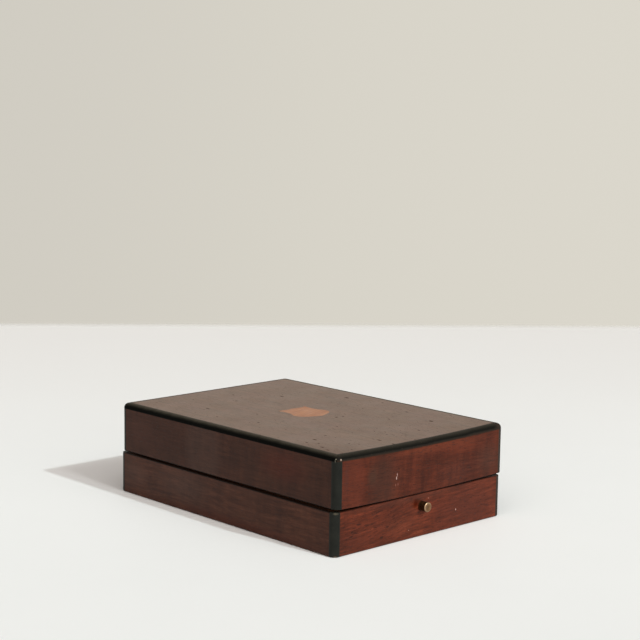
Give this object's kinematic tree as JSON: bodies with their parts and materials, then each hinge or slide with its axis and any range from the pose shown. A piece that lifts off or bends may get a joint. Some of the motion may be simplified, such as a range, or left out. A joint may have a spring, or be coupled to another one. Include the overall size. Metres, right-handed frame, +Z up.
{
  "type": "wooden box",
  "caption": "Low wooden box with a hinged lid, black rounded edging strips, a plain shield inlay and a brass push-button catch.",
  "frame": {"origin": "centre of the base's underside, on the surface that the box stands on", "axes": "+Z up, -Y towards the short front side with the push button, +Y towards the hinges, +X to the right seen from the front"},
  "size_m": [0.1593, 0.2344, 0.065],
  "materials": {
    "mahogany": "worn French polish",
    "top_wood": "satin",
    "ebonised_wood": "satin black stain",
    "shield_wood": "satin",
    "plain_wood": "bare",
    "baize": "napped",
    "brass": "dulled",
    "spring_steel": "satin"
  },
  "bodies": {
    "base": {"base_front_wall": "mahogany", "base_back_wall": "mahogany", "base_left_wall": "mahogany", "base_right_wall": "mahogany", "base_corner_edging_front_left": "ebonised_wood", "base_corner_edging_front_right": "ebonised_wood", "base_corner_edging_back_left": "ebonised_wood", "base_corner_edging_back_right": "ebonised_wood", "base_bottom_board": "plain_wood", "base_floor_lining": "baize", "hinge_left_base_leaf": "brass", "hinge_right_base_leaf": "brass", "hinge_left_pin": "brass", "hinge_right_pin": "brass", "hinge_base_screws": "brass", "catch_spring": "spring_steel", "catch_spring_screws": "brass"},
    "lid": {"lid_front_wall": "mahogany", "lid_back_wall": "mahogany", "lid_left_wall": "mahogany", "lid_right_wall": "mahogany", "lid_corner_edging_front_left": "ebonised_wood", "lid_corner_edging_front_right": "ebonised_wood", "lid_corner_edging_back_left": "ebonised_wood", "lid_corner_edging_back_right": "ebonised_wood", "lid_top_edging_front": "ebonised_wood", "lid_top_edging_back": "ebonised_wood", "lid_top_edging_left": "ebonised_wood", "lid_top_edging_right": "ebonised_wood", "lid_top_board": "top_wood", "shield_inlay": "shield_wood", "lid_lining": "baize", "hinge_left_lid_leaf": "brass", "hinge_right_lid_leaf": "brass", "hinge_lid_screws": "brass", "keeper_plate": "brass", "keeper_screws": "brass"},
    "catch": {"push_button": "brass", "catch_hook": "brass", "catch_hook_rivets": "brass"}
  },
  "joints": [
    {"name": "lid_hinge", "type": "hinge", "parent": "base", "child": "lid", "pos_m": [0, 0.1143, 0.0293], "axis": [-1, 0, 0], "range_deg": [0, 105]},
    {"name": "button_press", "type": "slide", "parent": "base", "child": "catch", "axis": [0, 1, 0], "range_m": [0, 0.0018], "stiffness_N_per_m": 1500, "springref_m": -0.001, "deforming": ["catch_spring"]}
  ]
}
